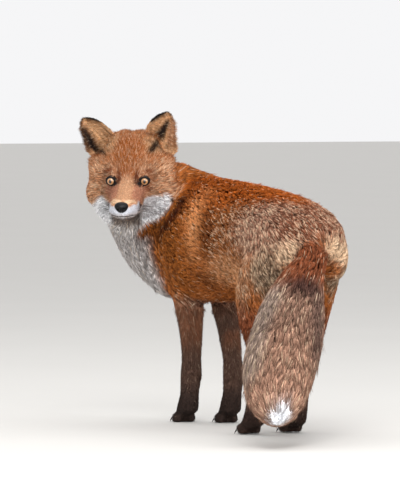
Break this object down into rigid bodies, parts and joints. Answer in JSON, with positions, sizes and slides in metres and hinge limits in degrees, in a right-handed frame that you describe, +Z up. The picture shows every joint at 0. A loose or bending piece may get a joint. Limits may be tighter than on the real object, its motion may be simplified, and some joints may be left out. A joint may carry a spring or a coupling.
{
  "type": "red fox",
  "caption": "Life-size still model of a red fox in winter coat, standing on four feet with its head turned back over its left shoulder and its brush hanging.",
  "frame": {"origin": "on the floor, midway along, across and under the whole model", "axes": "+Z up; the body points along -X, the tail end is at +X, and the fox's left side faces -Y"},
  "size_m": [0.7302, 0.2818, 0.4969],
  "materials": {
    "russet_coat": "matte winter fur, russet with pale underfur",
    "grizzled_coat": "matte fur, russet ticked with cream and black",
    "white_coat": "matte fur, off-white",
    "dark_stocking": "short flat fur, brown-black",
    "ear_coat": "short fur, tan inside and black on the back",
    "nose_leather": "damp satin, finely pebbled",
    "amber_eye": "wet gloss, amber iris and dark pupil",
    "claw_horn": "satin horn"
  },
  "bodies": {
    "root": {"head": "russet_coat", "lower_jaw": "white_coat", "nose": "nose_leather", "eye_left": "amber_eye", "eye_right": "amber_eye", "ear_left": "ear_coat", "ear_right": "ear_coat", "neck": "russet_coat", "chest": "russet_coat", "rump": "grizzled_coat", "tail_root": "russet_coat", "tail_brush": "grizzled_coat", "tail_tip": "white_coat", "foreleg_left": "dark_stocking", "foreleg_right": "dark_stocking", "forepaw_left": "dark_stocking", "forepaw_right": "dark_stocking", "hind_thigh_left": "russet_coat", "hind_thigh_right": "russet_coat", "hind_shank_left": "russet_coat", "hind_shank_right": "russet_coat", "hind_foot_left": "russet_coat", "hind_foot_right": "russet_coat", "claw_fore_left_1": "claw_horn", "claw_fore_left_2": "claw_horn", "claw_fore_left_3": "claw_horn", "claw_fore_left_4": "claw_horn", "claw_fore_right_1": "claw_horn", "claw_fore_right_2": "claw_horn", "claw_fore_right_3": "claw_horn", "claw_fore_right_4": "claw_horn", "claw_hind_left_1": "claw_horn", "claw_hind_left_2": "claw_horn", "claw_hind_left_3": "claw_horn", "claw_hind_left_4": "claw_horn", "claw_hind_right_1": "claw_horn", "claw_hind_right_2": "claw_horn", "claw_hind_right_3": "claw_horn", "claw_hind_right_4": "claw_horn"}
  },
  "joints": []
}
